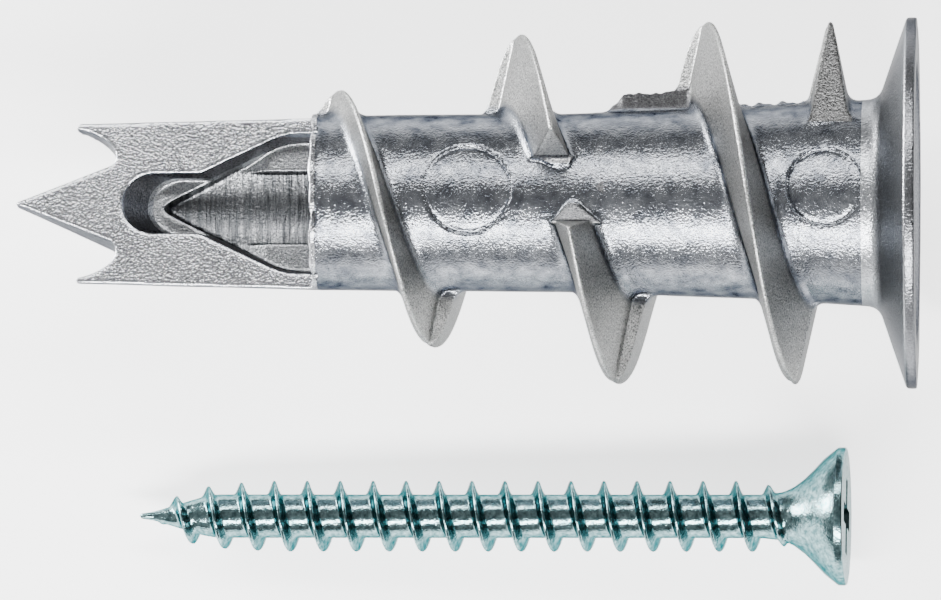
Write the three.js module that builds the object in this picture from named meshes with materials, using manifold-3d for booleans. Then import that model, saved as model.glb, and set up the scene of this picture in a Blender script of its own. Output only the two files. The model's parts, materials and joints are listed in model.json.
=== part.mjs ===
// Self-drilling wall anchor for plasterboard, with the countersunk screw that goes into it.
//
// Millimetres, +Z up. The anchor lies along X: the origin is the centre of its flange's outer
// face, +X points out of the wall, and the flat face of its drilling blade looks up. The screw
// lies beside it on the same surface, with its point the same way.
//
// Two pieces, as in reality: a zinc die casting and a steel screw.

import * as THREE from 'three';
import { mergeVertices } from 'three/addons/utils/BufferGeometryUtils.js';
import Module from 'manifold-3d';

const wasm = await Module();
wasm.setup();

const TURN = 2 * Math.PI;

// ---- Driving dimensions -------------------------------------------------------------------

const ROUND_STEPS = 40; // facets round the anchor's body
const PAST = 0.5; // how far a cutter runs past the face it opens

const flange = {
  radius: 7.83,
  rim: 0.48, // thickness of its edge
  dishRadius: 6.0, // the outer face is dished inside this radius
  dishDepth: 0.7,
};

// The casting's outside from its step to the flange's rim: distance from the wall face, radius.
const bodyOutline = [
  [-25.2, 3.68],
  [-15, 3.76],
  [-7, 4.05],
  [-2.3, 4.42],
  [-1.75, 4.58],
  [-1.4, 5.05],
  [-flange.rim - 0.02, 7.72],
  [-flange.rim, flange.radius],
  [0, flange.radius],
];

const blade = {
  length: 38.0, // flange face to drill point
  step: -25.2, // where the round body ends and the half-round blade begins
  lap: 0.4, // how far the blade is carried into the round body
  sink: 0.05, // how far the lapped part lies under the body's surface
  endRadius: 3.4, // the blade's half width from the spurs on
  notch: -34.0, // where the centre point's flanks end
  pointHalfWidth: 1.62,
  // The round notch's bend: distance past the notch's foot, half width.
  notchBend: [[0.45, 1.9], [0.25, 2.85]],
  spurTip: [-35.35, 3.15],
  spurFlare: 0.2,
  backFrom: [-31.5, -4.08], // x and z where the back starts to slope up to the cutting edges
  backEnd: [-39.0, -0.4],
};

const coarseThread = {
  pitch: 7.68,
  firstTop: -24.4, // where the crest first passes +Y
  start: -0.36, // turns, counted from firstTop
  gapStart: 1.21, // the crest is left out for a little at the front of the second turn
  gapEnd: 1.3,
  slowFrom: 2.5, // from here to its end the crest closes up with the flange
  slowPitch: 2.86,
  end: 3.03,
  crestHalfWidth: 0.14,
  flankSlope: 0.27, // half width gained per millimetre of depth
  rootRadius: 3.2, // buried in the body
  stepsPerTurn: 24,
};

// How the crest grows: turns from firstTop, crest radius.
const crestGrowth = [
  [-0.36, 3.5],
  [0, 4.78],
  [0.5, 6.05],
  [1, 7.1],
  [1.5, 7.68],
  [3.1, 7.68],
];

const bore = {
  radius: 1.65, // clears the screw's thread
  leadIn: -1.2, // where the dish has narrowed to the bore
  mouthRadius: 2.3,
  tipRadius: 1.4,
  coneStart: -30.6,
  coneEnd: -32.0,
};

const driveRecess = { reach: 3.3, width: 1.5, deepReach: 1.9, deepWidth: 1.2, depth: 5 };

// The screw breaks out of the blade through a wedge-shaped groove and a round-ended pocket.
const groove = {
  apex: -33.0,
  floorApex: -32.1,
  wideFrom: -26.75,
  halfWidth: 2.95,
  floorHalfWidth: 2.55,
  depth: 1.5,
  inner: -24.9, // carried this far so that it opens into the bore
};
const pocket = { radius: 1.27, centre: -32.25, floorCentre: -30.95, end: -29.5, depth: 1.2 };

// The stub left where the casting was broken off its gate.
const gateRib = { from: -13.1, to: -9.6, root: 3.4, height: 4.72, thickness: 1.0 };

const screw = {
  length: 30.0,
  headRadius: 2.92,
  faceRadius: 2.82,
  rim: 0.3, // thickness of the head's edge
  coreRadius: 0.92,
  tipRadius: 0.08,
  crestRadius: 1.5,
  crestAtPoint: 0.35, // the crest's radius where the thread starts on the point
  crestAtEnd: 1.06, // and where it fades into the shank
  rootRadius: 0.2, // buried in the shank
  pitch: 1.4,
  pointLength: 2.9,
  threadStart: 0.5, // turns from the point
  threadEnd: -3.2, // the thread runs up to here below the head
  neckFrom: -4.0, // from here the shank widens into the head
  crestHalfWidth: 0.06,
  flankSlope: 0.5,
  stepsPerTurn: 12,
  roundSteps: 24,
};

// The trumpet-shaped underside of the head: distance from its face, radius.
const headOutline = [
  [-2.75, 1.08],
  [-2.2, 1.33],
  [-1.77, 1.62],
  [-1.35, 2.02],
  [-0.93, 2.46],
  [-0.5, 2.86],
  [-screw.rim, screw.headRadius],
  [-0.1, screw.headRadius],
  [0, screw.faceRadius],
];

const screwRecess = { reach: 1.6, width: 0.85, deepReach: 0.6, deepWidth: 0.6, depth: 1.6 };

// The screw's resting place: it lies on its head's rim and on its thread near the point.
const screwPlace = {
  headX: -3.04,
  beside: -12.56,
  restSpan: 27.4, // from the head's rim to the crest that touches the surface
  aside: 0.5, // degrees off parallel
};

// ---- Geometry helpers ---------------------------------------------------------------------

// A manifold-3d solid from a closed three.js geometry.
function solid(geometry) {
  const bare = geometry.clone();
  bare.deleteAttribute('normal');
  bare.deleteAttribute('uv');
  const merged = mergeVertices(bare, 1e-4);
  const mesh = new wasm.Mesh({
    numProp: 3,
    vertProperties: new Float32Array(merged.attributes.position.array),
    triVerts: new Uint32Array(merged.index.array),
  });
  return new wasm.Manifold(mesh);
}

function geometryOf(manifold) {
  const mesh = manifold.getMesh();
  const geometry = new THREE.BufferGeometry();
  geometry.setAttribute('position', new THREE.BufferAttribute(mesh.vertProperties, 3));
  geometry.setIndex(new THREE.BufferAttribute(mesh.triVerts, 1));
  return geometry;
}

// A solid of revolution about X, from an outline of [x, radius] pairs in order of x.
function turned(outline, steps) {
  const first = outline[0][0];
  const last = outline[outline.length - 1][0];
  const profile = [[first, 0], ...outline, [last, 0]].map(([x, r]) => new THREE.Vector2(r, x));
  const geometry = new THREE.LatheGeometry(profile, steps);
  geometry.rotateZ(-Math.PI / 2);
  return solid(geometry);
}

// A closed solid through rings of points, each ring convex and anticlockwise seen from the last.
function skinned(rings) {
  const size = rings[0].length;
  const positions = rings.flat(2);
  const index = [];
  for (let ring = 0; ring + 1 < rings.length; ring++) {
    for (let i = 0; i < size; i++) {
      const a = ring * size + i;
      const b = ring * size + ((i + 1) % size);
      index.push(a, b, b + size, a, b + size, a + size);
    }
  }
  const top = (rings.length - 1) * size;
  for (let i = 1; i + 1 < size; i++) {
    index.push(0, i + 1, i, top, top + i, top + i + 1);
  }
  const geometry = new THREE.BufferGeometry();
  geometry.setAttribute('position', new THREE.Float32BufferAttribute(positions, 3));
  geometry.setIndex(index);
  return solid(geometry);
}

function box(minimum, maximum) {
  const size = maximum.map((high, i) => high - minimum[i]);
  const geometry = new THREE.BoxGeometry(...size);
  geometry.translate(...maximum.map((high, i) => (high + minimum[i]) / 2));
  return solid(geometry);
}

// A value from a list of [position, value] pairs, straight between them.
function along(pairs, position) {
  const next = Math.max(1, pairs.findIndex(([at]) => at >= position));
  const [x0, y0] = pairs[next - 1];
  const [x1, y1] = pairs[next];
  return y0 + ((y1 - y0) * (position - x0)) / (x1 - x0);
}

// A right-hand thread ridge about X. place gives x and the crest's radius at a number of turns.
function ridge(from, to, thread, place) {
  const count = Math.ceil((to - from) * thread.stepsPerTurn);
  const rings = [];
  for (let i = 0; i <= count; i++) {
    const turns = from + ((to - from) * i) / count;
    const { x, crest } = place(turns);
    const y = Math.cos(turns * TURN);
    const z = Math.sin(turns * TURN);
    const rootHalf = thread.crestHalfWidth + thread.flankSlope * (crest - thread.rootRadius);
    const corners = [
      [x - rootHalf, thread.rootRadius],
      [x + rootHalf, thread.rootRadius],
      [x + thread.crestHalfWidth, crest],
      [x - thread.crestHalfWidth, crest],
    ];
    rings.push(corners.map(([cx, r]) => [cx, r * y, r * z]));
  }
  return skinned(rings);
}

// A cross-shaped driver recess sunk from x = 0, its arms tapering as they go in.
function crossRecess({ reach, width, deepReach, deepWidth, depth }) {
  const bars = [0, Math.PI / 2].map((angle) => {
    const turn = (y, z) => [
      y * Math.cos(angle) - z * Math.sin(angle),
      y * Math.sin(angle) + z * Math.cos(angle),
    ];
    const ring = (x, y, z) =>
      [[y, z], [-y, z], [-y, -z], [y, -z]].map(([cy, cz]) => [x, ...turn(cy, cz)]);
    return skinned([
      ring(-depth, deepReach, deepWidth / 2),
      ring(0, reach, width / 2),
      ring(PAST, reach, width / 2),
    ]);
  });
  return bars[0].add(bars[1]);
}

// ---- The anchor ---------------------------------------------------------------------------

// The blade's outline from above: a centre point between two spurs, with round notches.
function bladeOutline() {
  const [spurX, spurY] = blade.spurTip;
  const [[footX, footY], [bendX, bendY]] = blade.notchBend;
  const inner = blade.step + blade.lap;
  const outside = flange.radius;
  const shape = new THREE.Shape();
  shape.moveTo(inner, -outside);
  shape.lineTo(inner, outside);
  shape.lineTo(spurX + blade.spurFlare, outside);
  shape.lineTo(spurX, spurY);
  shape.bezierCurveTo(
    blade.notch + bendX, bendY,
    blade.notch + footX, footY,
    blade.notch, blade.pointHalfWidth,
  );
  shape.lineTo(-blade.length, 0);
  shape.lineTo(blade.notch, -blade.pointHalfWidth);
  shape.bezierCurveTo(
    blade.notch + footX, -footY,
    blade.notch + bendX, -bendY,
    spurX, -spurY,
  );
  shape.lineTo(spurX + blade.spurFlare, -outside);
  return shape;
}

// The lower half of the body carried on to the point and cut to the blade's outline.
function bladeSolid() {
  const stepRadius = bodyOutline[0][1];
  const halfRound = turned(
    [
      [-blade.length - PAST, blade.endRadius],
      [blade.spurTip[0], blade.endRadius],
      [blade.step, stepRadius],
      [blade.step + blade.lap + PAST, stepRadius - blade.sink],
    ],
    ROUND_STEPS,
  );
  const plate = new THREE.ExtrudeGeometry(bladeOutline(), {
    depth: flange.radius,
    bevelEnabled: false,
    curveSegments: 10,
  });
  plate.translate(0, 0, -flange.radius);
  const [fromX, fromZ] = blade.backFrom;
  const [endX, endZ] = blade.backEnd;
  const side = (y) => [
    [fromX, y, fromZ],
    [endX, y, fromZ],
    [endX, y, endZ],
  ];
  const backSlope = skinned([side(-flange.radius), side(flange.radius)]);
  return halfRound.intersect(solid(plate)).subtract(backSlope);
}

function crestPlace(turns) {
  const slow = Math.max(0, turns - coarseThread.slowFrom);
  const x = coarseThread.firstTop
    + coarseThread.pitch * (turns - slow)
    + coarseThread.slowPitch * slow;
  return { x, crest: along(crestGrowth, turns) };
}

function grooveCutter() {
  const ring = (z, apex, half) => [
    [apex, 0, z],
    [groove.wideFrom, -half, z],
    [groove.inner, -half, z],
    [groove.inner, half, z],
    [groove.wideFrom, half, z],
  ];
  return skinned([
    ring(-groove.depth, groove.floorApex, groove.floorHalfWidth),
    ring(0, groove.apex, groove.halfWidth),
    ring(PAST, groove.apex, groove.halfWidth),
  ]);
}

// The pocket's round end wall leans, so that a screw's point is turned out of the blade.
function pocketCutter() {
  const steps = 12;
  const ring = (z, centre) => {
    const points = [[pocket.end, pocket.radius, z]];
    for (let i = 0; i <= steps; i++) {
      const angle = Math.PI / 2 + (Math.PI * i) / steps;
      points.push([
        centre + pocket.radius * Math.cos(angle),
        pocket.radius * Math.sin(angle),
        z,
      ]);
    }
    points.push([pocket.end, -pocket.radius, z]);
    return points;
  };
  const lean = (pocket.floorCentre - pocket.centre) / pocket.depth;
  return skinned([
    ring(-pocket.depth, pocket.floorCentre),
    ring(PAST, pocket.centre - lean * PAST),
  ]);
}

function boreCutter() {
  return turned(
    [
      [bore.coneEnd, 0.05],
      [bore.coneStart, bore.tipRadius],
      [blade.step, bore.radius],
      [bore.leadIn, bore.radius],
      [-flange.dishDepth, bore.mouthRadius],
      [0, flange.dishRadius],
      [PAST, flange.dishRadius],
    ],
    ROUND_STEPS,
  );
}

function anchorCasting() {
  const { gapStart, gapEnd, start, end } = coarseThread;
  const rib = box(
    [gateRib.from, gateRib.root, -gateRib.thickness / 2],
    [gateRib.to, gateRib.height, gateRib.thickness / 2],
  );
  const casting = turned(bodyOutline, ROUND_STEPS)
    .add(bladeSolid())
    .add(ridge(start, gapStart, coarseThread, crestPlace))
    .add(ridge(gapEnd, end, coarseThread, crestPlace))
    .add(rib)
    .subtract(boreCutter())
    .subtract(grooveCutter())
    .subtract(pocketCutter())
    .subtract(crossRecess(driveRecess));
  const material = new THREE.MeshStandardMaterial({
    color: 0xb4b8bd,
    metalness: 0.9,
    roughness: 0.38,
  });
  const mesh = new THREE.Mesh(geometryOf(casting), material);
  mesh.name = 'anchor_casting';
  return mesh;
}

// ---- The screw ----------------------------------------------------------------------------

function screwCrestPlace(turns) {
  const x = -screw.length + screw.pitch * turns;
  const grown = Math.min(1, (screw.pitch * turns) / screw.pointLength);
  const full = screw.crestAtPoint + (screw.crestRadius - screw.crestAtPoint) * grown;
  const beforeEnd = (screw.threadEnd - x) / screw.pitch;
  const faded = Math.min(1, Math.max(0, beforeEnd));
  return { x, crest: screw.crestAtEnd * (1 - faded) + full * faded };
}

function countersunkScrew() {
  const shank = turned(
    [
      [-screw.length, screw.tipRadius],
      [-screw.length + screw.pointLength, screw.coreRadius],
      [screw.neckFrom, screw.coreRadius],
      ...headOutline,
    ],
    screw.roundSteps,
  );
  const turns = (screw.length + screw.threadEnd) / screw.pitch;
  const body = shank
    .add(ridge(screw.threadStart, turns, screw, screwCrestPlace))
    .subtract(crossRecess(screwRecess));
  const material = new THREE.MeshStandardMaterial({
    color: 0x8fa5aa,
    metalness: 1,
    roughness: 0.25,
  });
  const mesh = new THREE.Mesh(geometryOf(body), material);
  mesh.name = 'countersunk_screw';
  const tilt = Math.atan((screw.headRadius - screw.crestRadius) / screwPlace.restSpan);
  mesh.rotation.set(0, -tilt, THREE.MathUtils.degToRad(-screwPlace.aside), 'ZYX');
  mesh.position.set(
    screwPlace.headX,
    screwPlace.beside,
    -flange.radius + screw.headRadius * Math.cos(tilt) + screw.rim * Math.sin(tilt),
  );
  return mesh;
}

const wallAnchor = new THREE.Group();
wallAnchor.add(anchorCasting());
wallAnchor.add(countersunkScrew());

export default wallAnchor;
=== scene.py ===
"""Looks of a self-drilling zinc wall anchor and its countersunk screw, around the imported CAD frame.

The frame is in metres. The anchor lies along X with its flange's outer face at x = 0 and the flat
of its blade facing up. Shapes here are worked out in millimetres and scaled as each mesh is made.

The anchor is made the way it is cast: a distance field holds the body, the thread and the cuts,
the two die halves fill the thread down to the parting plane z = 0, and a surface net turns the
field into a mesh. The screw is a grid whose rows follow its thread, as thread rolling leaves it.
"""

import json
import math

import bmesh
import bpy
import numpy as np
from mathutils import Euler, Matrix, Vector


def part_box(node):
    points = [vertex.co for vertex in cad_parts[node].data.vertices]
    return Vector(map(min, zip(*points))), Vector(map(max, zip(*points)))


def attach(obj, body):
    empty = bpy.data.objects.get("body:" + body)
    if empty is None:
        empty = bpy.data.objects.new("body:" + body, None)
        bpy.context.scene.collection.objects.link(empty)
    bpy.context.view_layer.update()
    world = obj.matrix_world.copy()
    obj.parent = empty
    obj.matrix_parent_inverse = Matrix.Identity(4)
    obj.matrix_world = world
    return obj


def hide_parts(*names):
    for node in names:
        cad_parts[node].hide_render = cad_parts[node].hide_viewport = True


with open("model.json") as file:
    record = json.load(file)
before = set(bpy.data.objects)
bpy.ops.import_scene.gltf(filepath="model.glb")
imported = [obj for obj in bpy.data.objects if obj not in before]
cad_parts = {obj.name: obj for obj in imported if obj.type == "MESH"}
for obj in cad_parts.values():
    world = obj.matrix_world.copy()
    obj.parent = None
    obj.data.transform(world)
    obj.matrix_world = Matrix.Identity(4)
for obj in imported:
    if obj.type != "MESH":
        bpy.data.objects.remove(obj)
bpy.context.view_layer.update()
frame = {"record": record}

MM = 0.001
TURN = 2 * math.pi

# ---- Driving dimensions, in millimetres; the main ones are as in the CAD ------------------------

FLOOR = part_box("anchor_casting")[0].z / MM
FLANGE_RADIUS = -FLOOR
FLANGE_RIM = 0.48
FLARE_RADIUS = 7.74  # where the flange's conical back meets its rim
FLARE_SLOPE = 2.95  # radius per millimetre along that cone
DISH_RADIUS = 6.0
DISH_DEPTH = 0.7

LENGTH = -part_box("anchor_casting")[0].x / MM
STEP = -25.2
BODY_X = (STEP, -15.0, -7.0, -2.3, 0.0)
BODY_RADII = (3.68, 3.76, 4.03, 4.34, 4.5)
BLADE_END_RADIUS = 3.42
NOTCH = -34.0
POINT_HALF_WIDTH = 1.62
SPUR_TIP = (-35.5, 3.2)
BACK_SLOPE = (0.42, -31.6, -3.75)  # rise per millimetre, and a point on the slope
ABOVE_FACE = 0.4  # how far the groove's and the pocket's cuts run past the blade's face

WALL_LEAN = 0.245
GROOVE_APEX = -33.0
GROOVE_HALF_ANGLE = math.radians(25.4)
GROOVE_HALF_WIDTH = 3.0
GROOVE_DEPTH = 1.8
GROOVE_HOLLOW = 0.15  # how the floor rises with the square of y
LEDGE_FROM = 1.55
LEDGE_HEIGHT = 0.4
POCKET_CENTRE = -32.25
POCKET_RADIUS = 1.27
POCKET_DEPTH = 1.2

PITCH = 7.68
FIRST_TOP = -24.4
THREAD_START = -0.36
SLOW_FROM = 2.5
SLOW_PITCH = 2.86
THREAD_END = 3.2
LAST_TURN = 3.03  # past it the crest runs straight round to its faced-off end
CREST_TURNS = (-0.36, 0.0, 0.5, 1.0, 1.5, 3.2)
CREST_RADII = (3.5, 4.7, 6.05, 7.1, 7.66, 7.66)
DRIFT_TURNS = (0.0, 0.5, 1.0, 1.5, 2.0, 2.5, 3.0)
DRIFT = (-0.21, -0.03, -0.21, 0.12, 0.04, -0.03, 0.04)
END_FACE = (0.38, 0.925, 4.05)  # the thread's end: its normal in y and z, and its distance
CREST_HALF_WIDTH = 0.09
FLANK_SLOPE = 0.21
FLANK_COSINE = 0.979
FRONT = 2  # the thread's gap and its noses are only above this height
GAP_SIDES = ((1.2, 0.2, 3.75), (-1.42, -0.25, 3.8))  # each side's y, its slope and where in z
# A nose's tip, the two corners at its back, and how fast it rises.
UPPER_NOSE = ((-14.70, 0.64), (-15.95, 1.25), (-14.40, 1.15), 0.6)
LOWER_NOSE = ((-14.44, -0.42), (-15.25, -1.48), (-13.40, -1.33), 0.55)

BORE_RADIUS = 1.65
DRIVE_DEPTH = 5.0
DRIVE_REACH = (3.3, 1.4)  # at the mouth, and how much less at the bottom
DRIVE_HALF_WIDTH = (0.75, 0.15)
STUB = (-13.4, -9.2)
STUB_OUTLINE = ((-13.3, 3.6), (-12.4, 4.62), (-9.4, 4.78), (-9.2, 4.7))
STUB_HALF_THICKNESS = 0.35
CRUMBS = (-6.1, 1.25)  # the middle of the flash after the stub, and half its length
STEP_FLASH = (0.17, 3.6, 0.13)  # inset from the step, radius and thickness
EJECTOR_MARKS = ((-18.8, 1.8, 0.10), (-3.85, 1.56, -0.12))  # x, radius, tilt of the mark

SCREW_LENGTH = 30.0
SCREW_CORE = 0.92
SCREW_CREST = 1.5
SCREW_PITCH = 1.4
THREAD_PHASE = 0.4
MERGE = 0.0005  # points of the screw's mesh that are this close become one


# ---- Distance fields ----------------------------------------------------------------------------

FAR = 9.0  # a field's value where it has no shape at all


def union(a, b, blend=0.0):
    """Join two fields, with a fillet about as wide as blend."""
    if not blend:
        return np.minimum(a, b)
    near = np.maximum(blend - np.abs(a - b), 0)
    return np.minimum(a, b) - near * near / (4 * blend)


def common(a, b, blend=0.0):
    """What two fields share, with its edges rounded."""
    return -union(-a, -b, blend)


def cut(a, b, blend=0.0):
    """Take field b out of field a, with its edges rounded."""
    return -union(-a, b, blend)


def lattice_noise(points, size, seed):
    """Smooth noise from -1 to 1 at (n, 3) points, with bumps about size across."""
    table = np.random.default_rng(seed).uniform(-1, 1, 4096).astype(np.float32)
    scaled = points / size
    cell = np.floor(scaled).astype(np.int64)
    part = scaled - cell
    part = part * part * (3 - 2 * part)
    total = np.zeros(len(points))
    for corner in range(8):
        bits = np.array([corner & 1, corner >> 1 & 1, corner >> 2 & 1])
        at = cell + bits
        key = (at[:, 0] * 73856093 ^ at[:, 1] * 19349663 ^ at[:, 2] * 83492791) & 4095
        weight = np.prod(np.where(bits, part, 1 - part), axis=1)
        total += table[key] * weight
    return total


class Block:
    """Sample points on a grid, with the parting plane midway between two layers."""

    def __init__(self, low, high, step):
        self.step = step
        self.x = np.arange(low[0], high[0], step, dtype=np.float32)
        half_y = math.ceil(high[1] / step)
        half_z = math.ceil(high[2] / step)
        self.y = (np.arange(-half_y, half_y) + 0.5).astype(np.float32) * step
        self.z = (np.arange(-half_z, half_z) + 0.5).astype(np.float32) * step
        self.rho = np.hypot(self.y[:, None], self.z[None, :])
        self.turn = (np.arctan2(self.z[None, :], self.y[:, None]) / TURN) % 1.0
        self.shape = (len(self.x), len(self.y), len(self.z))

    def xs(self):
        return self.x[:, None, None]

    def ys(self):
        return self.y[None, :, None]

    def zs(self):
        return self.z[None, None, :]


def surface_net(field, block):
    """Vertices and quads of the surface where the field is zero, facing out."""
    inside = field < 0
    shape = tuple(n - 1 for n in field.shape)
    corners = [(i, j, k) for i in (0, 1) for j in (0, 1) for k in (0, 1)]

    def shifted(values, corner):
        i, j, k = corner
        return values[i : i + shape[0], j : j + shape[1], k : k + shape[2]]

    count = np.zeros(shape, np.uint8)
    for corner in corners:
        count += shifted(inside, corner)
    on_surface = (count > 0) & (count < 8)
    cells = np.argwhere(on_surface)
    number = np.full(shape, -1, np.int32)
    number[on_surface] = np.arange(len(cells), dtype=np.int32)

    total = np.zeros((len(cells), 3))
    crossings = np.zeros(len(cells))
    values = {c: field[tuple((cells + c).T)].astype(float) for c in corners}
    for a in corners:
        for axis in range(3):
            if a[axis]:
                continue
            b = tuple(1 if i == axis else v for i, v in enumerate(a))
            va, vb = values[a], values[b]
            crossed = (va < 0) != (vb < 0)
            part = va[crossed] / (va[crossed] - vb[crossed])
            point = np.tile(np.array(a, float), (len(part), 1))
            point[:, axis] = part
            total[crossed] += point
            crossings[crossed] += 1
    start = np.array([block.x[0], block.y[0], block.z[0]])
    vertices = start + block.step * (cells + total / crossings[:, None])

    quads = []
    for axis in range(3):
        u, v = [i for i in range(3) if i != axis]
        first = [slice(1, -1)] * 3
        second = [slice(1, -1)] * 3
        first[axis] = slice(0, -1)
        second[axis] = slice(1, None)
        near = inside[tuple(first)]
        far = inside[tuple(second)]
        edge = np.argwhere(near != far)
        edge[:, u] += 1
        edge[:, v] += 1
        leaves = inside[tuple(edge.T)]
        ring = []
        for du, dv in ((-1, -1), (0, -1), (0, 0), (-1, 0)):
            cell = edge.copy()
            cell[:, u] += du
            cell[:, v] += dv
            ring.append(number[tuple(cell.T)])
        ring = np.stack(ring, axis=1)
        flip = leaves if axis == 1 else ~leaves
        ring[flip] = ring[flip][:, ::-1]
        quads.append(ring)
    return vertices, np.concatenate(quads)


def relaxed(vertices, quads, rounds, amount):
    """Vertices moved part of the way to their neighbours' mean, to take out the grid's marks."""
    ends = np.concatenate([quads[:, [i, (i + 1) % 4]] for i in range(4)])
    degree = np.bincount(ends[:, 0], minlength=len(vertices))[:, None]
    for _ in range(rounds):
        mean = np.stack(
            [
                np.bincount(ends[:, 0], vertices[ends[:, 1], axis], len(vertices))
                for axis in range(3)
            ],
            axis=1,
        )
        vertices = vertices + amount * (mean / degree - vertices)
    return vertices


def vertex_normals(vertices, quads):
    """Unit normals at the vertices, from the quads round each, larger ones counting for more."""
    across = vertices[quads[:, 2]] - vertices[quads[:, 0]]
    along = vertices[quads[:, 3]] - vertices[quads[:, 1]]
    facing = np.cross(across, along)
    normals = np.stack(
        [
            sum(np.bincount(quads[:, i], facing[:, axis], len(vertices)) for i in range(4))
            for axis in range(3)
        ],
        axis=1,
    )
    return normals / np.maximum(np.linalg.norm(normals, axis=1, keepdims=True), 1e-12)


def mesh_object(name, vertices, quads, material):
    """A smooth-shaded object from millimetre vertices and an (n, 4) array of quads."""
    mesh = bpy.data.meshes.new(name)
    mesh.vertices.add(len(vertices))
    mesh.vertices.foreach_set("co", (vertices * MM).astype(np.float32).ravel())
    mesh.loops.add(quads.size)
    mesh.loops.foreach_set("vertex_index", quads.astype(np.int32).ravel())
    mesh.polygons.add(len(quads))
    mesh.polygons.foreach_set("loop_start", np.arange(0, quads.size, 4, dtype=np.int32))
    mesh.update(calc_edges=True)
    mesh.validate()
    mesh.shade_smooth()
    mesh.materials.append(material)
    made = bpy.data.objects.new(name, mesh)
    bpy.context.scene.collection.objects.link(made)
    return made


# ---- The anchor's shape -------------------------------------------------------------------------


def body_radius(x):
    """The tapering body's radius at a distance along it."""
    return np.interp(x, BODY_X, BODY_RADII)


def body_field(block):
    """The body and the flange, with the fillet between them."""
    radius = body_radius(block.x)[:, None, None]
    barrel = common(block.rho[None] - radius, STEP - block.xs(), 0.12)
    barrel = common(barrel, block.xs() + 0.3)
    flare = block.rho[None] - FLARE_RADIUS - FLARE_SLOPE * (block.xs() + FLANGE_RIM)
    flare = flare / math.hypot(1, FLARE_SLOPE)
    plate = common(block.rho[None] - FLANGE_RADIUS, block.xs(), 0.08)
    plate = common(plate, flare, 0.12)
    return union(barrel, plate, 0.45)


def crest_centre(turns):
    """Where along the anchor the thread's crest is after so many turns."""
    turns = np.minimum(turns, LAST_TURN)
    slow = np.maximum(turns - SLOW_FROM, 0)
    drift = np.interp(turns, DRIFT_TURNS, DRIFT)
    return FIRST_TOP + PITCH * (turns - slow) + SLOW_PITCH * slow + drift


def thread_field(block):
    """The coarse thread alone, filled towards the parting plane as the two die halves leave it."""
    field = np.full(block.shape, FAR, np.float32)
    for whole in range(-1, 4):
        turns = whole + block.turn
        centre = crest_centre(turns)
        crest = np.interp(turns, CREST_TURNS, CREST_RADII)
        half = CREST_HALF_WIDTH + FLANK_SLOPE * (crest - block.rho)
        off = (turns < THREAD_START) | (turns > THREAD_END)
        at = (block.x > centre.min() - 3) & (block.x < centre.max() + 3)
        axial = np.abs(block.xs()[at] - centre[None]) - half[None]
        ridge = common(axial * FLANK_COSINE, (block.rho - crest)[None], 0.14)
        ridge = np.where(off[None], FAR, ridge)
        field[at] = np.minimum(field[at], ridge)
    middle = block.shape[2] // 2
    front = field[:, :, middle:]
    front[:] = np.minimum.accumulate(front[:, :, ::-1], axis=2)[:, :, ::-1]
    back = field[:, :, :middle]
    back[:] = np.minimum.accumulate(back, axis=2)
    return field


def faceted(field, block):
    """Break the crest with a gap at the front of its second turn, and face off its last end."""
    y, z = block.ys(), block.zs()
    upper, lower = (y - at_y - slope * (z - at_z) for at_y, slope, at_z in GAP_SIDES)
    gap = np.maximum(upper, -lower)
    at = (block.x > -18.0) & (block.x < -11.5)
    field[at] = np.where(z > FRONT, common(field[at], -gap, 0.06), field[at])
    last = (block.x > -6.3) & (block.x < -2.2)
    face = END_FACE[0] * y + END_FACE[1] * z - END_FACE[2]
    top = (y > 0) & (z > -4)
    field[last] = np.where(top, common(field[last], face, 0.06), field[last])
    return field


def nose(block, at, tip, corner, other, rise):
    """A low stub of thread on the body, from its tip up to the two corners under the gap's side."""
    x, y = block.xs()[at], block.ys()
    ways = []
    for end in (corner, other):
        along = np.array(end) - np.array(tip)
        normal = np.array((-along[1], along[0])) / math.hypot(*along)
        middle = (np.array(corner) + np.array(other)) / 2 - np.array(tip)
        if normal @ middle > 0:
            normal = -normal
        ways.append((x - tip[0]) * normal[0] + (y - tip[1]) * normal[1])
    height = body_radius(tip[0]) - 0.05 + rise * np.abs(y - tip[1])
    roof = (block.rho[None] - height) / math.hypot(1, rise)
    back = np.where(corner[1] > tip[1], y - corner[1] - 0.1, corner[1] - 0.1 - y)
    side = common(np.maximum(*ways), back, 0.05)
    return np.where(block.zs() > FRONT, common(side, roof, 0.08), FAR)


def outline_distance(block, at):
    """Signed distance in plan to the blade's outline, negative inside it."""
    spur_x, spur_y = SPUR_TIP
    notch = np.array(
        [(NOTCH, POINT_HALF_WIDTH), (NOTCH + 0.45, 1.9), (NOTCH + 0.25, 2.85), (spur_x, spur_y)]
    )
    t = np.linspace(0, 1, 16)[:, None]
    curve = (
        (1 - t) ** 3 * notch[0]
        + 3 * (1 - t) ** 2 * t * notch[1]
        + 3 * (1 - t) * t**2 * notch[2]
        + t**3 * notch[3]
    )
    tip_x = -LENGTH - 0.1
    upper = np.concatenate([[(tip_x, 0.0)], curve, [(spur_x + 0.25, 3.5), (spur_x + 0.6, 6.0)]])
    lower = upper[::-1] * (1, -1)
    loop = np.concatenate([upper, [(-20.0, 6.0), (-20.0, -6.0)], lower[:-1]])
    px = block.x[at][:, None]
    py = block.y[None, :]
    nearest = np.full((len(px), py.shape[1]), 1e9)
    inside = np.zeros(nearest.shape, bool)
    for (ax, ay), (bx, by) in zip(loop, np.roll(loop, -1, axis=0)):
        ex, ey = bx - ax, by - ay
        part = np.clip(((px - ax) * ex + (py - ay) * ey) / (ex * ex + ey * ey + 1e-12), 0, 1)
        nearest = np.minimum(nearest, np.hypot(px - ax - part * ex, py - ay - part * ey))
        crosses = (ay > py) != (by > py)
        with np.errstate(divide="ignore", invalid="ignore"):
            inside ^= crosses & (px < ex * (py - ay) / (by - ay) + ax)
    return np.where(inside, -nearest, nearest)[:, :, None]


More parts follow.
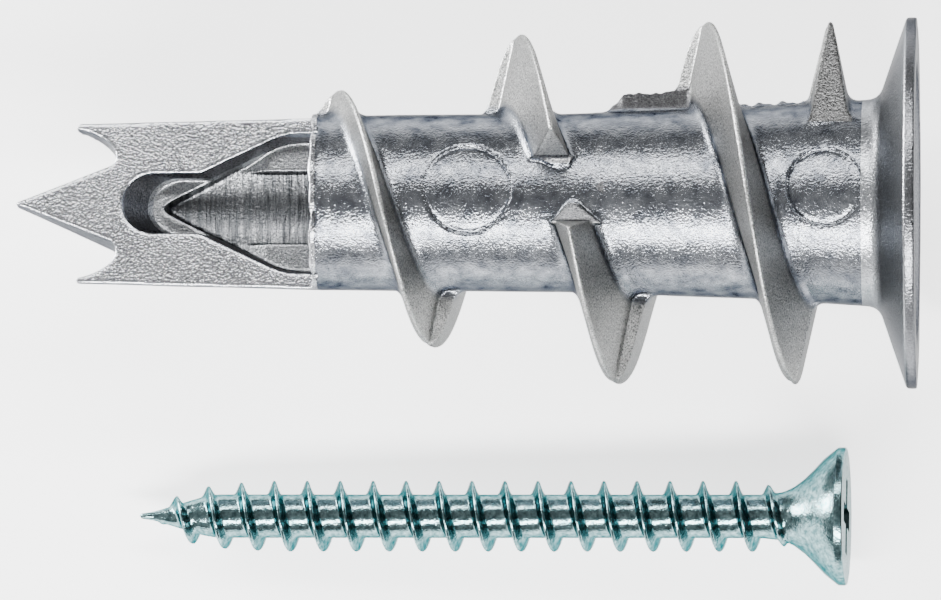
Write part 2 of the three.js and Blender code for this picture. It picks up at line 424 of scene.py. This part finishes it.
def blade_field(block, at):
    """The half-round blade, sharpened from behind towards its prongs."""
    x, z = block.xs()[at], block.zs()
    radius = np.interp(block.x[at], (-35.0, STEP), (BLADE_END_RADIUS, BODY_RADII[0]))
    field = common(block.rho[None] - radius[:, None, None], z, 0.06)
    field = common(field, x - STEP - 0.3)
    field = common(field, outline_distance(block, at), 0.05)
    rise, from_x, from_z = BACK_SLOPE
    slope = (from_z - z - rise * (x - from_x)) / math.hypot(1, rise)
    return common(field, slope, 0.2)


def groove_field(block, at):
    """The wedge-shaped groove in the blade's face, hollow across, with a ledge at each side."""
    x, y, z = block.xs()[at], block.ys(), block.zs()
    floor = GROOVE_HOLLOW * np.minimum(np.abs(y), LEDGE_FROM) ** 2 - GROOVE_DEPTH
    ledge = LEDGE_HEIGHT * np.clip((x + 28.3) / 0.9, 0, 1)
    floor = floor + np.where(np.abs(y) > LEDGE_FROM, ledge, 0.0)
    across = np.sqrt(y * y + 0.05) * math.cos(GROOVE_HALF_ANGLE)
    flank = across - (x - GROOVE_APEX) * math.sin(GROOVE_HALF_ANGLE) - WALL_LEAN * z
    side = np.abs(y) - GROOVE_HALF_WIDTH - WALL_LEAN * z
    walls = common(flank, side, 0.3)
    return common(np.maximum(walls, z - ABOVE_FACE), floor - z, 0.05)


def pocket_field(block, at):
    """The round-ended pocket in front of the groove, whose end wall leans towards the point."""
    x, y, z = block.xs()[at], block.ys(), block.zs()
    centre = POCKET_CENTRE - 1.3 * z / POCKET_DEPTH
    along = np.maximum(centre - x, 0)
    across = np.hypot(along * 0.94, y) - POCKET_RADIUS - 0.04 * z
    field = common(across, -POCKET_DEPTH - 0.05 * y * y - z, 0.1)
    return common(np.maximum(field, z - ABOVE_FACE), x + 29.6)


def bore_field(block):
    """The bore, the dish in the flange's face and the cross recess."""
    x = block.xs()
    bore = common(block.rho[None] - BORE_RADIUS, STEP - 0.6 - x)
    cone = (block.rho[None] - 2.2 - 8.0 * (x + DISH_DEPTH)) * 0.12
    wall = (block.rho[None] - DISH_RADIUS - 1.5 * x) * 0.55
    field = union(bore, common(cone, wall, 0.1), 0.2)
    depth = np.clip(-x / DRIVE_DEPTH, 0, 1)
    reach = DRIVE_REACH[0] - DRIVE_REACH[1] * depth
    width = DRIVE_HALF_WIDTH[0] - DRIVE_HALF_WIDTH[1] * depth
    y, z = np.abs(block.ys()), np.abs(block.zs())
    one = np.maximum(y - reach, z - width)
    two = np.maximum(z - reach, y - width)
    cross = common(np.minimum(one, two), -DRIVE_DEPTH - x, 0.2)
    return union(field, cross, 0.1)


def rib_field(block, at):
    """The gate's broken stub along the parting line, and crumbs of flash after it."""
    x, y, z = block.xs()[at], block.ys(), block.zs()
    ragged = 0.03 * np.sin(x * 4.1) + 0.05 * np.sin(x * 13.7 + 2) * np.sin(x * 3.3)
    height = np.interp(block.x[at], *zip(*STUB_OUTLINE))[:, None, None] + ragged
    draft = 0.55 * np.clip(height - y, 0, 1.2)
    stub = np.maximum((np.abs(z) - STUB_HALF_THICKNESS - draft) * 0.87, y - height)
    stub = common(stub, x - STUB[1])
    stub = common(stub, STUB[0] - x)
    crumb_height = 4.16 + 0.14 * np.sin(x * 9.7) * np.sin(x * 3.1 + 1) + 0.03 * (x + 7)
    thickness = STUB_HALF_THICKNESS + 0.15 * np.sin(x * 6.3)
    crumbs = np.maximum(np.abs(z) - thickness, y - crumb_height)
    crumbs = np.maximum(crumbs, np.abs(x - CRUMBS[0]) - CRUMBS[1])
    return common(np.minimum(stub, crumbs), 3.0 - y)


def anchor_field(block):
    """The whole casting, with its cuts made last."""
    body = body_field(block)
    threaded = faceted(union(body, thread_field(block), 0.45), block)
    field = union(body, threaded, 0.03)
    at = (block.x > -17.5) & (block.x < -12.5)
    for stub in (UPPER_NOSE, LOWER_NOSE):
        field[at] = union(field[at], nose(block, at, *stub), 0.06)
    at = (block.x > -13.8) & (block.x < -4.4)
    field[at] = union(field[at], rib_field(block, at), 0.3)
    at = block.x < STEP + 0.6
    field[at] = union(field[at], blade_field(block, at), 0.03)
    inset, radius, thickness = STEP_FLASH
    ragged = thickness + 0.04 * np.sin(38 * block.turn) + 0.03 * np.sin(97 * block.turn)
    flash = np.hypot(block.xs()[at] - STEP + inset, block.rho[None] - radius) - ragged[None]
    flash = np.where(block.zs() > 0, flash, FAR)
    field[at] = union(field[at], flash, 0.1)
    for mark_x, radius, tilt in EJECTOR_MARKS:
        at = np.abs(block.x - mark_x) < radius + 0.5
        x = block.xs()[at] - mark_x
        floor = body_radius(block.x[at])[:, None, None] - 0.10 - tilt * 0.5 * x
        disc = np.hypot(x, block.ys()) - radius
        recess = np.maximum(disc, floor - block.rho[None])
        ring = np.hypot(disc, block.rho[None] - floor - 0.03) - 0.085
        recess = np.minimum(recess, ring)
        recess = np.where(block.zs() > 0, recess, FAR)
        field[at] = cut(field[at], recess, 0.06)
    field = cut(field, bore_field(block), 0.08)
    at = block.x < STEP + 0.1
    field[at] = cut(field[at], groove_field(block, at), 0.06)
    field[at] = cut(field[at], pocket_field(block, at), 0.04)
    return field


def anchor_object(material):
    """The casting's mesh, with a cast skin's faint waves."""
    step = 0.08
    margin = 3 * step
    block = Block(
        (-LENGTH - margin, 0, 0),
        (margin, FLANGE_RADIUS + margin, FLANGE_RADIUS + margin),
        step,
    )
    vertices, quads = surface_net(anchor_field(block), block)
    vertices = relaxed(vertices, quads, 1, 0.4)
    normals = vertex_normals(vertices, quads)
    skin = 0.016 * lattice_noise(vertices, 2.4, 1) + 0.002 * lattice_noise(vertices, 0.6, 2)
    vertices = vertices + normals * (skin - 0.009)[:, None]
    return mesh_object("anchor_casting_fine", vertices, quads, material)


# ---- The screw's shape --------------------------------------------------------------------------

HEAD_OUTLINE = (
    (-2.75, 1.02),
    (-2.5, 1.1),
    (-2.2, 1.26),
    (-1.77, 1.58),
    (-1.35, 1.99),
    (-0.93, 2.44),
    (-0.36, 2.9),
    (-0.3, 2.92),
    (-0.05, 2.92),
    (0.0, 2.88),
)
THREAD_STOP = 2  # the outline's point where the thread has run out
POINT_OUTLINE = (
    (-SCREW_LENGTH, 0.0),
    (-29.92, 0.11),
    (-29.4, 0.19),
    (-27.3, 0.82),
    (-26.7, SCREW_CORE),
    (-3.6, SCREW_CORE),
)
CREST_OUTLINE = (
    (-29.4, 0.1),
    (-28.4, 0.88),
    (-27.7, 1.2),
    (-27.0, 1.27),
    (-26.4, 1.38),
    (-25.7, 1.42),
    (-24.3, SCREW_CREST),
    (-3.75, SCREW_CREST),
    (-3.2, 1.3),
    (-2.6, 1.28),
    (-2.4, 1.0),
)
# The thread's section: place along one pitch, and how far up from the core to the crest.
THREAD_SECTION = (
    (0.0, 0.0),
    (0.14, 0.0),
    (0.28, 0.0),
    (0.42, 0.0),
    (0.53, 0.0),
    (0.57, 0.03),
    (0.61, 0.14),
    (0.66, 0.45),
    (0.715, 0.86),
    (0.735, 0.96),
    (0.76, 1.0),
    (0.785, 1.0),
    (0.81, 0.96),
    (0.83, 0.86),
    (0.885, 0.45),
    (0.94, 0.14),
    (0.975, 0.03),
)
RECESS = ((0.0, 1.6, 0.425), (-1.6, 0.6, 0.3), (-1.8, 0.06, 0.03))  # x, reach, half width


def screw_core(x):
    """The shank's radius, a cone at the point and a trumpet under the head."""
    return np.interp(x, *zip(*POINT_OUTLINE, *HEAD_OUTLINE[: THREAD_STOP + 1]))


def screw_crest(x):
    """The crest's radius: it grows up the point and fades out below the head."""
    return np.interp(x, *zip(*CREST_OUTLINE))


def cross_outline(steps, reach, half_width):
    """A cross seen along the screw, as points in y and z from the end of its first arm round."""
    eighth = steps // 8
    bends = (0, round(eighth * 0.3), eighth)
    along = np.arange(eighth + 1)
    y = np.interp(along, bends, (reach, reach, half_width))
    z = np.interp(along, bends, (0.0, half_width, half_width))
    half = np.stack([y, z], axis=1)
    quarters = [np.concatenate([half, half[-2:0:-1, ::-1]])]
    for _ in range(3):
        quarters.append(quarters[-1][:, ::-1] * (-1, 1))
    return np.concatenate(quarters)


def screw_surface():
    """Rows follow the thread from root to crest, so its edges are true helices."""
    round_steps = 128
    per_turn = len(THREAD_SECTION)
    turns = math.ceil(SCREW_LENGTH / SCREW_PITCH) + 1
    end = HEAD_OUTLINE[THREAD_STOP][0]
    angle = np.arange(round_steps) * TURN / round_steps
    rows = turns * per_turn
    place = np.array([THREAD_SECTION[i % per_turn][0] + i // per_turn for i in range(rows)])
    lift = np.array([THREAD_SECTION[i % per_turn][1] for i in range(rows)])
    x = -SCREW_LENGTH - SCREW_PITCH + SCREW_PITCH * (place[:, None] + angle[None] / TURN)
    x = np.clip(x + THREAD_PHASE, -SCREW_LENGTH, end)
    core = screw_core(x)
    radius = core + lift[:, None] * np.maximum(screw_crest(x) - core, 0)
    grid = np.stack([x, radius * np.cos(angle), radius * np.sin(angle)], axis=2)
    number = np.arange(rows * round_steps).reshape(rows, round_steps)
    faces = []
    for row in range(rows - 1):
        here = number[row]
        above = number[row + 1]
        here_on = np.append(here[1:], number[min(row + per_turn, rows - 1)][0])
        above_on = np.append(above[1:], number[min(row + 1 + per_turn, rows - 1)][0])
        faces += np.stack([here, here_on, above_on, above], axis=1).tolist()
    points = [grid.reshape(-1, 3)]
    ring = number[-1]
    count = rows * round_steps
    circle = np.stack([np.cos(angle), np.sin(angle)], axis=1)
    rings = [(ring_x, radius * circle) for ring_x, radius in HEAD_OUTLINE[THREAD_STOP + 1 :]]
    rings += [(ring_x, cross_outline(round_steps, *size)) for ring_x, *size in RECESS]
    for ring_x, outline in rings:
        points.append(np.insert(outline, 0, ring_x, axis=1))
        fresh = np.arange(count, count + round_steps)
        faces += np.stack([ring, np.roll(ring, -1), np.roll(fresh, -1), fresh], axis=1).tolist()
        ring = fresh
        count += round_steps
    faces.append(ring.tolist())
    return np.concatenate(points), faces


def screw_object(material):
    """The screw's mesh, turned from its own axis to where it lies beside the anchor."""
    vertices, faces = screw_surface()
    mesh = bpy.data.meshes.new("countersunk_screw_fine")
    mesh.from_pydata((vertices * MM).tolist(), [], faces)
    made = bpy.data.objects.new("countersunk_screw_fine", mesh)
    bpy.context.scene.collection.objects.link(made)
    shape = bmesh.new()
    shape.from_mesh(mesh)
    bmesh.ops.remove_doubles(shape, verts=shape.verts, dist=MERGE * MM)
    bmesh.ops.dissolve_degenerate(shape, edges=shape.edges, dist=MERGE * MM)
    bmesh.ops.recalc_face_normals(shape, faces=shape.faces)
    shape.to_mesh(mesh)
    shape.free()
    mesh.materials.append(material)
    mesh.shade_smooth()
    mesh.set_sharp_from_angle(angle=math.radians(38))
    joint = next(j for j in frame["record"]["behaviour"]["joints"] if j["name"] == "screw_turn")
    along = Vector(joint["axis"]).normalized()
    across = Vector((0, 0, 1)).cross(along).normalized()
    up = along.cross(across)
    place = Matrix((along, across, up)).transposed().to_4x4()
    place.translation = Vector(joint["pos_m"])
    mesh.transform(place)
    return made


# ---- Finishes -----------------------------------------------------------------------------------

UNDER_GROOVE = -2.0  # a height below everything in the groove
CUTTER_LINES = (6500, 420, 420)  # per metre: close together along the anchor, and long across it


def node(tree, kind, **values):
    """A node with its inputs and settings given by name."""
    made = tree.nodes.new(kind)
    for name, value in values.items():
        if name in made.inputs:
            made.inputs[name].default_value = value
        else:
            setattr(made, name, value)
    return made


def noise(tree, coordinates, scale, detail):
    """A noise texture on the object's own coordinates, from about 0.25 to 0.75."""
    texture = node(tree, "ShaderNodeTexNoise", Scale=scale, Detail=detail, Roughness=0.6)
    tree.links.new(coordinates, texture.inputs["Vector"])
    return texture.outputs["Fac"]


def ramp(tree, value, start, end, low, high, shape="LINEAR"):
    """low where the value is at start or before, high from end on, and between them in between."""
    made = node(tree, "ShaderNodeMapRange", interpolation_type=shape)
    for name, number in (("From Min", start), ("From Max", end), ("To Min", low), ("To Max", high)):
        made.inputs[name].default_value = number
    tree.links.new(value, made.inputs["Value"])
    return made.outputs["Result"]


def spread(tree, value, low, high):
    """Stretch the middle of a noise texture's range to run from low to high."""
    return ramp(tree, value, 0.32, 0.68, low, high)


def component(tree, coordinates, axis):
    """One component of a vector."""
    parts = node(tree, "ShaderNodeSeparateXYZ")
    tree.links.new(coordinates, parts.inputs["Vector"])
    return parts.outputs[axis]


def compared(tree, value, side, limit):
    """1 where the value is past the limit, in millimetres, on that side of it, and 0 elsewhere."""
    made = node(tree, "ShaderNodeMath", operation=side)
    made.inputs[1].default_value = limit * MM
    tree.links.new(value, made.inputs[0])
    return made.outputs["Value"]


def within(tree, coordinates, limits):
    """1 where the coordinates are inside every limit, in millimetres, and 0 elsewhere."""
    share = None
    for axis, side, limit in limits:
        value = component(tree, coordinates, axis)
        share = product(tree, share, compared(tree, value, side, limit))
    return share


def product(tree, first, second):
    """Two values multiplied, or the second alone if there is no first."""
    if first is None:
        return second
    made = node(tree, "ShaderNodeMath", operation="MULTIPLY")
    tree.links.new(first, made.inputs[0])
    tree.links.new(second, made.inputs[1])
    return made.outputs["Value"]


def off_axis(tree, coordinates, taper):
    """The distance from the anchor's axis, plus taper times x."""
    flat = node(tree, "ShaderNodeVectorMath", operation="MULTIPLY")
    flat.inputs[1].default_value = (0, 1, 1)
    length = node(tree, "ShaderNodeVectorMath", operation="LENGTH")
    total = node(tree, "ShaderNodeMath", operation="MULTIPLY_ADD")
    total.inputs[1].default_value = taper
    tree.links.new(coordinates, flat.inputs[0])
    tree.links.new(flat.outputs["Vector"], length.inputs[0])
    tree.links.new(component(tree, coordinates, "X"), total.inputs[0])
    tree.links.new(length.outputs["Value"], total.inputs[2])
    return total.outputs["Value"]


def flank_share(tree, coordinates):
    """0 on the anchor's tapering body and 1 beyond it, on the thread's faces."""
    share = ramp(tree, off_axis(tree, coordinates, -0.029), 4.5 * MM, 4.8 * MM, 0.0, 1.0)
    off_flange = within(tree, coordinates, (("X", "LESS_THAN", -2.6),))
    return product(tree, share, off_flange)


def notch_painted_shade_share(tree, coordinates):
    """Mask of painted shade: 1 on the two stubs in the thread's gap, and 0 elsewhere."""
    limits = (
        ("X", "GREATER_THAN", -16.1), ("X", "LESS_THAN", -13.1), ("Y", "LESS_THAN", 1.3),
        ("Y", "GREATER_THAN", -1.52), ("Z", "GREATER_THAN", 3.8),
    )
    return within(tree, coordinates, limits)


def last_end_painted_shade_share(tree, coordinates):
    """Mask of painted shade: 1 on the faced-off end of the thread beside the flange, and 0 elsewhere.
    """
    depth = node(tree, "ShaderNodeVectorMath", operation="DOT_PRODUCT")
    depth.inputs[1].default_value = (0, *END_FACE[:2])
    tree.links.new(coordinates, depth.inputs[0])
    on_face = compared(tree, depth.outputs["Value"], "GREATER_THAN", END_FACE[2] - 0.05)
    limits = (("X", "GREATER_THAN", -5.2), ("X", "LESS_THAN", -2.7), ("Y", "GREATER_THAN", 2.9))
    return product(tree, on_face, within(tree, coordinates, limits))


def flange_share(tree, coordinates):
    """1 on the flange and the body's foot under it, and 0 elsewhere."""
    return within(tree, coordinates, (("X", "GREATER_THAN", -2.3),))


def rim_painted_shade_share(tree, coordinates):
    """Mask of painted shade: 1 on the flange's rim, outer face and dish, and 0 from its conical back
    on.
    """
    back = FLARE_RADIUS + FLARE_SLOPE * FLANGE_RIM
    return compared(tree, off_axis(tree, coordinates, -FLARE_SLOPE), "LESS_THAN", back - 0.126)


def rib_painted_shade_share(tree, coordinates):
    """Mask of painted shade: 1 on the gate's stub, up to the thread beside it, and 0 elsewhere."""
    limits = (
        ("X", "GREATER_THAN", -13.2), ("X", "LESS_THAN", -9.6), ("Y", "GREATER_THAN", 3.9),
        ("Y", "LESS_THAN", 5.0), ("Z", "GREATER_THAN", -1.5), ("Z", "LESS_THAN", 1.5),
    )
    return within(tree, coordinates, limits)


def blade_face_share(tree, coordinates):
    """1 on the blade's flat face and the flash at its step, and 0 elsewhere."""
    return within(tree, coordinates, (("X", "LESS_THAN", -25.25), ("Z", "GREATER_THAN", -0.06)))


def groove_share(tree, coordinates, low, high):
    """1 in the blade's groove and pocket between two heights, and 0 elsewhere."""
    limits = (
        ("Z", "GREATER_THAN", low), ("Z", "LESS_THAN", high), ("X", "GREATER_THAN", -33.7),
        ("X", "LESS_THAN", -25.3), ("Y", "LESS_THAN", 2.9), ("Y", "GREATER_THAN", -2.9),
    )
    return within(tree, coordinates, limits)


def groove_wall_painted_shade_share(tree, coordinates):
    """Mask of painted shade: 1 on the walls of the groove and the pocket, and 0 elsewhere."""
    return groove_share(tree, coordinates, -1.0, -0.12)


def pocket_wall_painted_shade_share(tree, coordinates):
    """Mask of painted shade: 1 on the pocket's round end wall, and 0 elsewhere."""
    left = within(tree, coordinates, (("X", "LESS_THAN", -30.6),))
    return product(tree, left, groove_share(tree, coordinates, -1.12, -0.12))


def groove_bottom_painted_reflection_share(tree, coordinates):
    """Painted dark reflection: 1 along the groove's deepest line, fading out up its hollow floor."""
    depth = component(tree, coordinates, "Z")
    fade = ramp(tree, depth, -GROOVE_DEPTH * MM, -1.69 * MM, 0.85, 0.0, "SMOOTHSTEP")
    return product(tree, fade, groove_share(tree, coordinates, UNDER_GROOVE, -1.6))


def groove_floor_share(tree, coordinates):
    """1 on the groove's floor and its ledges, and 0 elsewhere."""
    return groove_share(tree, coordinates, UNDER_GROOVE, -1.0)


def tool_marks(tree, coordinates):
    """Fine cutter lines across the groove's floor, from 0 to 1, and 0 elsewhere."""
    stretch = node(tree, "ShaderNodeVectorMath", operation="MULTIPLY")
    stretch.inputs[1].default_value = CUTTER_LINES
    tree.links.new(coordinates, stretch.inputs[0])
    lines = spread(tree, noise(tree, stretch.outputs["Vector"], 1.0, 2), 0.0, 1.0)
    return product(tree, lines, groove_share(tree, coordinates, UNDER_GROOVE, -1.32))


def mixed(tree, share, low, high):
    """low where share is 0 and high where it is 1."""
    made = node(tree, "ShaderNodeMix", data_type="FLOAT")
    tree.links.new(share, made.inputs["Factor"])
    for name, value in (("A", low), ("B", high)):
        if isinstance(value, float):
            made.inputs[name].default_value = value
        else:
            tree.links.new(value, made.inputs[name])
    return made.outputs["Result"]


def tinted(tree, share, first, second):
    """The first colour where share is 0 and the second where it is 1."""
    made = node(tree, "ShaderNodeMix", data_type="RGBA")
    tree.links.new(share, made.inputs["Factor"])
    for socket, colour in ((made.inputs[6], first), (made.inputs[7], second)):
        if isinstance(colour, tuple):
            socket.default_value = (*colour, 1)
        else:
            tree.links.new(colour, socket)
    return made.outputs[2]


def metal(name, dark, light, edge, roughness, mottle, grain, zones=(), marks=None):
    """A metal whose colour drifts from dark to light, with a grain of bumps of several sizes."""
    material = bpy.data.materials.new(name)
    material.use_nodes = True
    tree = material.node_tree
    shader = tree.nodes["Principled BSDF"]
    shader.inputs["Metallic"].default_value = 1.0
    shader.inputs["Specular Tint"].default_value = (*edge, 1)
    coordinates = tree.nodes.new("ShaderNodeTexCoord").outputs["Object"]
    layers = [(noise(tree, coordinates, 1000 / size, 1), depth) for size, depth in grain]
    speckle = spread(tree, layers[-1][0], 0.0, 1.0)
    drift = spread(tree, noise(tree, coordinates, 1000 / mottle, 3), 0.0, 1.0)
    colour = tinted(tree, drift, dark, light)
    rough = spread(tree, noise(tree, coordinates, 300 / mottle, 2), *roughness)
    for share_of, zone_roughness, *zone_colours in zones:
        share = share_of(tree, coordinates)
        colour = tinted(tree, share, colour, tinted(tree, speckle, *zone_colours))
        rough = mixed(tree, share, rough, zone_roughness)
    if marks:
        mark_colour, mark_depth = marks
        lines = tool_marks(tree, coordinates)
        colour = tinted(tree, lines, colour, mark_colour)
        layers.append((lines, mark_depth))
    tree.links.new(colour, shader.inputs["Base Color"])
    tree.links.new(rough, shader.inputs["Roughness"])
    under = None
    for height, depth in layers:
        made = node(tree, "ShaderNodeBump", Strength=1.0, Distance=depth * MM)
        tree.links.new(height, made.inputs["Height"])
        if under:
            tree.links.new(under, made.inputs["Normal"])
        under = made.outputs["Normal"]
    tree.links.new(under, shader.inputs["Normal"])
    return material


# Where each zone is, its roughness, and the two colours that its speckle runs between. A later
# zone lies over an earlier one.
ZINC_ZONES = (
    (flange_share, 0.28, (0.32, 0.335, 0.355), (0.52, 0.535, 0.56)),
    # painted shade: darker colours on the flange's rim, outer face and dish
    (rim_painted_shade_share, 0.28, (0.14, 0.145, 0.155), (0.24, 0.245, 0.26)),
    (flank_share, 0.38, (0.14, 0.145, 0.145), (0.66, 0.66, 0.65)),
    # painted shade: dark colours on the thread's faced-off end
    (last_end_painted_shade_share, 0.38, (0.045, 0.045, 0.045), (0.27, 0.27, 0.27)),
    # painted shade: dark colours on the two stubs in the thread's gap
    (notch_painted_shade_share, 0.38, (0.045, 0.045, 0.05), (0.25, 0.255, 0.26)),
    # painted shade: dark colours on the gate's stub
    (rib_painted_shade_share, 0.34, (0.08, 0.08, 0.085), (0.2, 0.2, 0.205)),
    (blade_face_share, 0.26, (0.24, 0.25, 0.28), (0.86, 0.87, 0.89)),
    # painted shade: dark colours on the walls of the groove and the pocket
    (groove_wall_painted_shade_share, 0.42, (0.075, 0.075, 0.08), (0.19, 0.192, 0.2)),
    # painted shade: darker still on the pocket's round end wall
    (pocket_wall_painted_shade_share, 0.42, (0.05, 0.05, 0.055), (0.12, 0.125, 0.135)),
    (groove_floor_share, 0.34, (0.14, 0.145, 0.155), (0.42, 0.43, 0.44)),
    # painted dark reflection: a dark band along the groove's deepest line
    (groove_bottom_painted_reflection_share, 0.34, (0.04, 0.04, 0.045), (0.14, 0.145, 0.15)),
)

# Grain is pairs of a bump's width and its height, and mottle is a width, in millimetres.
zinc = metal(
    "die_cast_zinc",
    dark=(0.12, 0.13, 0.15),
    light=(0.31, 0.325, 0.35),
    edge=(0.15, 0.152, 0.158),
    roughness=(0.23, 0.27),
    mottle=0.67,
    grain=((0.4, 0.009), (0.11, 0.021), (0.065, 0.012)),
    zones=ZINC_ZONES,
    marks=((0.07, 0.075, 0.08), 0.03),
)
plated = metal(
    "plated_steel",
    dark=(0.07, 0.145, 0.155),
    light=(0.27, 0.40, 0.415),
    edge=(0.2, 0.3, 0.31),
    roughness=(0.13, 0.19),
    mottle=0.2,
    grain=((0.2, 0.003), (0.08, 0.009)),
)

# ---- Pieces -------------------------------------------------------------------------------------

anchor = anchor_object(zinc)
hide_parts("anchor_casting")
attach(anchor, "anchor")

screw = screw_object(plated)
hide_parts("countersunk_screw")
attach(screw, "screw")

# ---- Floor, light and camera --------------------------------------------------------------------

FLOOR_CENTRE = Vector((-19, -4, FLOOR)) * MM
# painted light: the floor's own glow, a pool of light round the pieces
PAINTED_GLOW = (20 * MM, 45 * MM, 2.0, 0.0)  # full to the first distance, gone at the second


def painted_glow_floor():
    """White paper with a painted pool of light: it glows round the pieces and fades out farther away.
    """
    paper = bpy.data.materials.new("white_floor_painted_glow")
    paper.use_nodes = True
    tree = paper.node_tree
    shader = tree.nodes["Principled BSDF"]
    shader.inputs["Base Color"].default_value = (0.8, 0.8, 0.8, 1)
    shader.inputs["Roughness"].default_value = 0.9
    shader.inputs["Emission Color"].default_value = (1, 1, 1, 1)
    away = node(tree, "ShaderNodeVectorMath", operation="LENGTH")
    tree.links.new(node(tree, "ShaderNodeTexCoord").outputs["Object"], away.inputs[0])
    glow = ramp(tree, away.outputs["Value"], *PAINTED_GLOW, "SMOOTHSTEP")
    tree.links.new(glow, shader.inputs["Emission Strength"])
    bpy.ops.mesh.primitive_plane_add(size=4, location=FLOOR_CENTRE)
    made = bpy.context.object
    made.name = "studio_floor"
    made.data.materials.append(paper)
    return made


floor = painted_glow_floor()

TARGET = Vector((-18.79, -4.145, 0)) * MM
ELEVATION = math.radians(80)
YAW = math.radians(2.3)  # enough to show the flange's outer face, as in the photograph
VIEW_WIDTH = 39.6 * MM
# Nearly parallel, like the photograph.
LENS = 800


def studio_camera():
    """The camera at the photograph's viewing angle."""
    up = Vector((0, math.sin(ELEVATION), math.cos(ELEVATION)))
    out = Vector((0, -math.cos(ELEVATION), math.sin(ELEVATION)))
    right = Vector((1, 0, 0))
    way = math.cos(YAW) * out + math.sin(YAW) * right
    optics = bpy.data.cameras.new("camera")
    optics.lens = LENS
    optics.sensor_width = 36
    optics.clip_start = 0.01
    made = bpy.data.objects.new("camera", optics)
    bpy.context.scene.collection.objects.link(made)
    pose = Matrix((math.cos(YAW) * right - math.sin(YAW) * out, up, way)).transposed().to_4x4()
    pose.translation = TARGET + VIEW_WIDTH * LENS / optics.sensor_width * way
    made.matrix_world = pose
    return made


def softbox(name, place, turn, long, wide, power):
    """A rectangular light at a place in millimetres from the target, unseen by the camera."""
    light = bpy.data.lights.new(name, "AREA")
    light.shape = "RECTANGLE"
    light.size = long * MM
    light.size_y = wide * MM
    light.energy = power
    made = bpy.data.objects.new(name, light)
    bpy.context.scene.collection.objects.link(made)
    made.location = TARGET + place * MM
    made.rotation_euler = turn
    made.visible_camera = False


def strip(name, tilt, wide, power):
    """A long softbox along the pieces, tilted this far from straight above towards the back."""
    lean = math.radians(tilt)
    place = 110 * Vector((0, math.sin(lean), math.cos(lean)))
    softbox(name, place, Euler((-lean, 0, 0)), 150, wide, power)


def studio_world():
    """A plain sky that is lighter on the blade's side, towards -X, than on the flange's."""
    world = bpy.data.worlds.new("studio")
    world.use_nodes = True
    tree = world.node_tree
    way = tree.nodes.new("ShaderNodeTexCoord").outputs["Generated"]
    grey = ramp(tree, component(tree, way, "X"), -1.0, 0.8, 0.5, 0.1)
    tree.links.new(grey, tree.nodes["Background"].inputs["Color"])
    tree.nodes["Background"].inputs["Strength"].default_value = 1.0
    return world


bpy.context.scene.camera = studio_camera()
strip("back_softbox", 37, 17, 0.16)
strip("front_softbox", -46, 15, 0.45)
side = Vector((-150, 64, 24))
softbox("side_softbox", side, (-side).to_track_quat("-Z", "Y").to_euler(), 120, 70, 1.0)
bpy.context.scene.world = studio_world()
